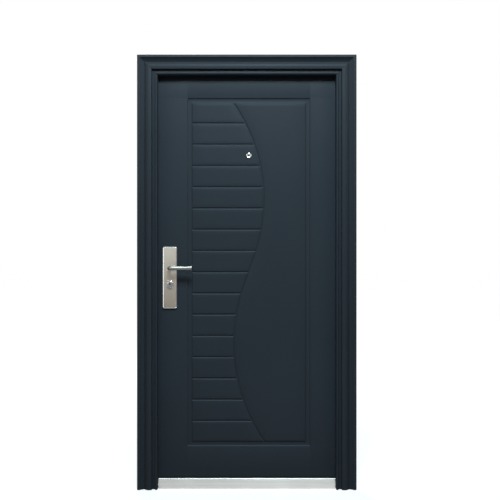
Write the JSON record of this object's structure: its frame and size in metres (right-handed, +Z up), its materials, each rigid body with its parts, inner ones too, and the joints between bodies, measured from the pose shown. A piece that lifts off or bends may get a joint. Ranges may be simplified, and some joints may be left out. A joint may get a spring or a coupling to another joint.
{
  "type": "security door",
  "caption": "Steel entrance door in a moulded frame with a pressed leaf, lever lock, peephole and threshold.",
  "frame": {"origin": "middle of the threshold's flat underside at floor level, in the plane of the leaf's outside face", "axes": "+Z up, -Y towards the outside, +X towards the hinge side as seen from outside"},
  "size_m": [1.06, 0.168, 2.1],
  "materials": {
    "frame_paint": "matt powder coat, dark slate",
    "leaf_paint": "matt powder coat, dark slate",
    "stainless": "brushed",
    "nickel": "warm satin nickel",
    "bright_metal": "polished",
    "galvanised": "zinc coated sheet",
    "plug_brass": "machined",
    "seal_rubber": "matt black",
    "lens_glass": "polished, dark behind"
  },
  "bodies": {
    "frame": {"hinge_jamb": "frame_paint", "lock_jamb": "frame_paint", "head_member": "frame_paint", "threshold": "stainless", "gasket_hinge_side": "seal_rubber", "gasket_lock_side": "seal_rubber", "gasket_head": "seal_rubber", "gasket_sill": "seal_rubber", "strike_plate": "stainless", "hinge_frame_bottom": "frame_paint", "hinge_frame_middle": "frame_paint", "hinge_frame_top": "frame_paint", "hinge_pin_bottom": "bright_metal", "hinge_pin_middle": "bright_metal", "hinge_pin_top": "bright_metal"},
    "leaf": {"hinge_leaf_bottom": "frame_paint", "hinge_leaf_middle": "frame_paint", "hinge_leaf_top": "frame_paint", "outer_skin": "leaf_paint", "inner_skin": "leaf_paint", "lock_stile": "galvanised", "hinge_stile": "galvanised", "top_rail": "galvanised", "bottom_rail": "galvanised", "lock_case": "galvanised", "lock_forend": "stainless", "latch_bolt": "bright_metal", "dead_bolts": "bright_metal", "plate_outside": "nickel", "plate_inside": "nickel", "cylinder_guard": "bright_metal", "cylinder_body": "bright_metal", "thumbturn": "nickel", "peephole_ring": "bright_metal", "peephole_lens": "lens_glass", "peephole_inner": "bright_metal"},
    "lever_set": {"lever_outside": "nickel", "lever_inside": "nickel", "spindle": "galvanised"},
    "plug": {"key_plug": "plug_brass"}
  },
  "joints": [
    {"name": "leaf_swing", "type": "hinge", "parent": "frame", "child": "leaf", "pos_m": [0.4515, 0.059, 1.025], "axis": [0, 0, -1], "range_deg": [0, 110]},
    {"name": "lever_turn", "type": "hinge", "parent": "leaf", "child": "lever_set", "pos_m": [-0.3735, 0.025, 1.069], "axis": [0, 1, 0], "range_deg": [0, 45], "stiffness_Nm_per_rad": 1.2, "springref_deg": -45.84},
    {"name": "key_turn", "type": "hinge", "parent": "leaf", "child": "plug", "pos_m": [-0.3735, -0.0025, 0.993], "axis": [0, 1, 0], "range_deg": [0, 360]}
  ]
}
